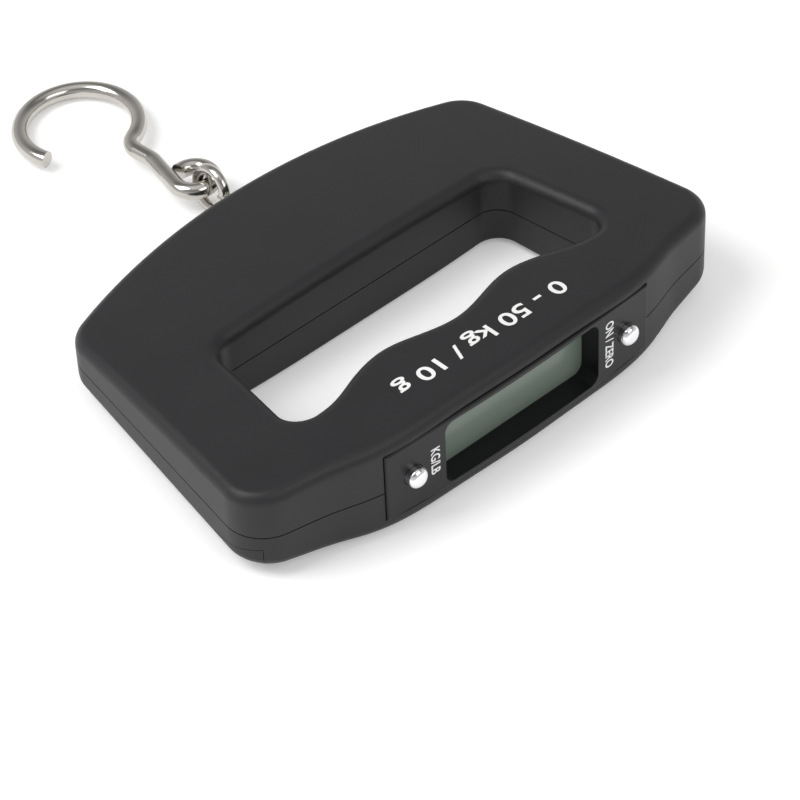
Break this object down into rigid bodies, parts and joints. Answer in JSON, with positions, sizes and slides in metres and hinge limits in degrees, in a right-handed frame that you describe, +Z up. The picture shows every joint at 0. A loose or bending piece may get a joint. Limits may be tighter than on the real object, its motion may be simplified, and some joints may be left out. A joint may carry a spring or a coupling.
{
  "type": "digital luggage scale",
  "caption": "Hand-held digital luggage scale: two-shell handle with a recessed display, two press buttons, and a wire hook swinging from a swivelling ring.",
  "frame": {"origin": "middle of the footprint of the scale and its hook, on the surface that the rear face lies on", "axes": "+Z up out of the front face, +Y from the display towards the hook, +X to the side of the power button"},
  "size_m": [0.1438, 0.1698, 0.0282],
  "materials": {
    "case_plastic": "fine satin grain",
    "panel_plastic": "satin panel with a glossy window frame",
    "button_chrome": "satin chrome plate on moulded plastic",
    "hook_nickel": "polished nickel plate",
    "screw_steel": "zinc plated",
    "display_film": "grey-green display, switched off",
    "display_glass": "clear",
    "diffuser": "milky",
    "connector_rubber": "matt",
    "board_laminate": "green solder mask",
    "chip_resin": "matt",
    "switch_plastic": "satin",
    "cell_jacket": "plain printed jacket",
    "contact_steel": "nickel plated",
    "beam_aluminium": "milled",
    "gauge_foil": "foil on film",
    "bracket_steel": "zinc plated"
  },
  "bodies": {
    "case": {"front_shell": "case_plastic", "rear_shell": "case_plastic", "case_screws": "screw_steel", "display_panel": "panel_plastic", "lcd_film": "display_film", "lcd_glass": "display_glass", "lcd_backlight": "diffuser", "lcd_connector": "connector_rubber", "circuit_board": "board_laminate", "board_screws": "screw_steel", "processor_chip": "chip_resin", "tact_switches": "switch_plastic", "battery_cell_right": "cell_jacket", "battery_cell_left": "cell_jacket", "battery_plates": "contact_steel", "battery_springs": "contact_steel", "load_cell": "beam_aluminium", "strain_gauges": "gauge_foil", "load_cell_bracket": "bracket_steel", "load_cell_screws": "screw_steel", "bracket_screws": "screw_steel"},
    "eye_bolt": {"eye_bolt": "hook_nickel", "eye_bolt_washer": "hook_nickel", "eye_bolt_nut": "hook_nickel"},
    "hook": {"hook": "hook_nickel"},
    "power_button": {"power_button": "button_chrome", "power_plunger": "switch_plastic"},
    "unit_button": {"unit_button": "button_chrome", "unit_plunger": "switch_plastic"},
    "battery_cover_right": {"battery_cover_right": "case_plastic"},
    "battery_cover_left": {"battery_cover_left": "case_plastic"}
  },
  "joints": [
    {"name": "eye_bolt_swivel", "type": "hinge", "parent": "case", "child": "eye_bolt", "pos_m": [0, 0.02532, 0.00688], "axis": [0, 0.9987, -0.0513], "continuous": true},
    {"name": "hook_swing", "type": "hinge", "parent": "eye_bolt", "child": "hook", "pos_m": [0, 0.02532, 0.00688], "axis": [0.9848, -0.0089, -0.1734], "range_deg": [-100, 100]},
    {"name": "power_button_press", "type": "slide", "parent": "case", "child": "power_button", "axis": [0, 0.9987, -0.0513], "range_m": [0, 0.0005], "stiffness_N_per_m": 1000, "springref_m": -0.0005},
    {"name": "unit_button_press", "type": "slide", "parent": "case", "child": "unit_button", "axis": [0, 0.9987, -0.0513], "range_m": [0, 0.0005], "stiffness_N_per_m": 1000, "springref_m": -0.0005},
    {"name": "battery_cover_right_lift", "type": "slide", "parent": "case", "child": "battery_cover_right", "axis": [0, -0.0513, -0.9987], "range_m": [0, 0.012]},
    {"name": "battery_cover_left_lift", "type": "slide", "parent": "case", "child": "battery_cover_left", "axis": [0, -0.0513, -0.9987], "range_m": [0, 0.012]}
  ]
}
